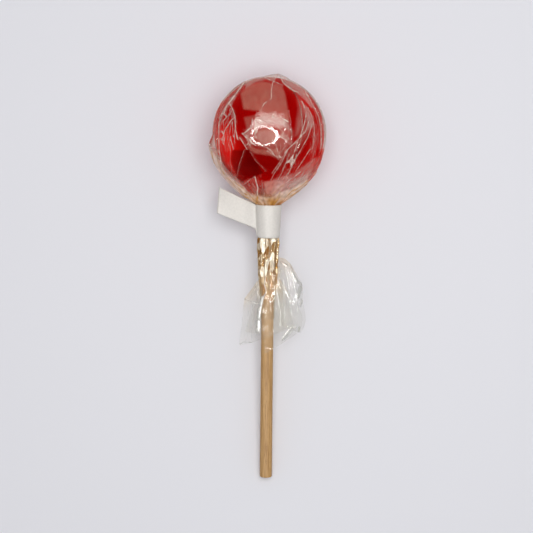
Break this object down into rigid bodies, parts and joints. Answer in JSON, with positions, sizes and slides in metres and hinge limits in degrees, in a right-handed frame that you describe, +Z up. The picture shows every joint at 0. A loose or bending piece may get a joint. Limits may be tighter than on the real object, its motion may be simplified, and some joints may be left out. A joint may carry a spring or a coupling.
{
  "type": "wrapped ball lollipop",
  "caption": "Ball lollipop on a round wooden stick, wrapped in clear film that a plain paper label gathers under the ball; lies on its side.",
  "frame": {"origin": "centre of the small flat spot on the film under the ball, on the surface that the lollipop lies on", "axes": "+Z up; the stick runs from the ball towards -Y and slopes down until its far end touches the surface; +X is to the right seen from above with the ball away from the viewer"},
  "size_m": [0.0451, 0.1565, 0.0434],
  "materials": {
    "candy": "hard boiled sugar, deep red, glossy and slightly translucent",
    "stick": "bare birch dowel, satin, with fine long grain",
    "film": "clear, glossy and creased",
    "label": "white paper tape, bare, satin"
  },
  "bodies": {
    "root": {"candy": "candy", "stick": "stick", "wrapper": "film", "label": "label"}
  },
  "joints": []
}
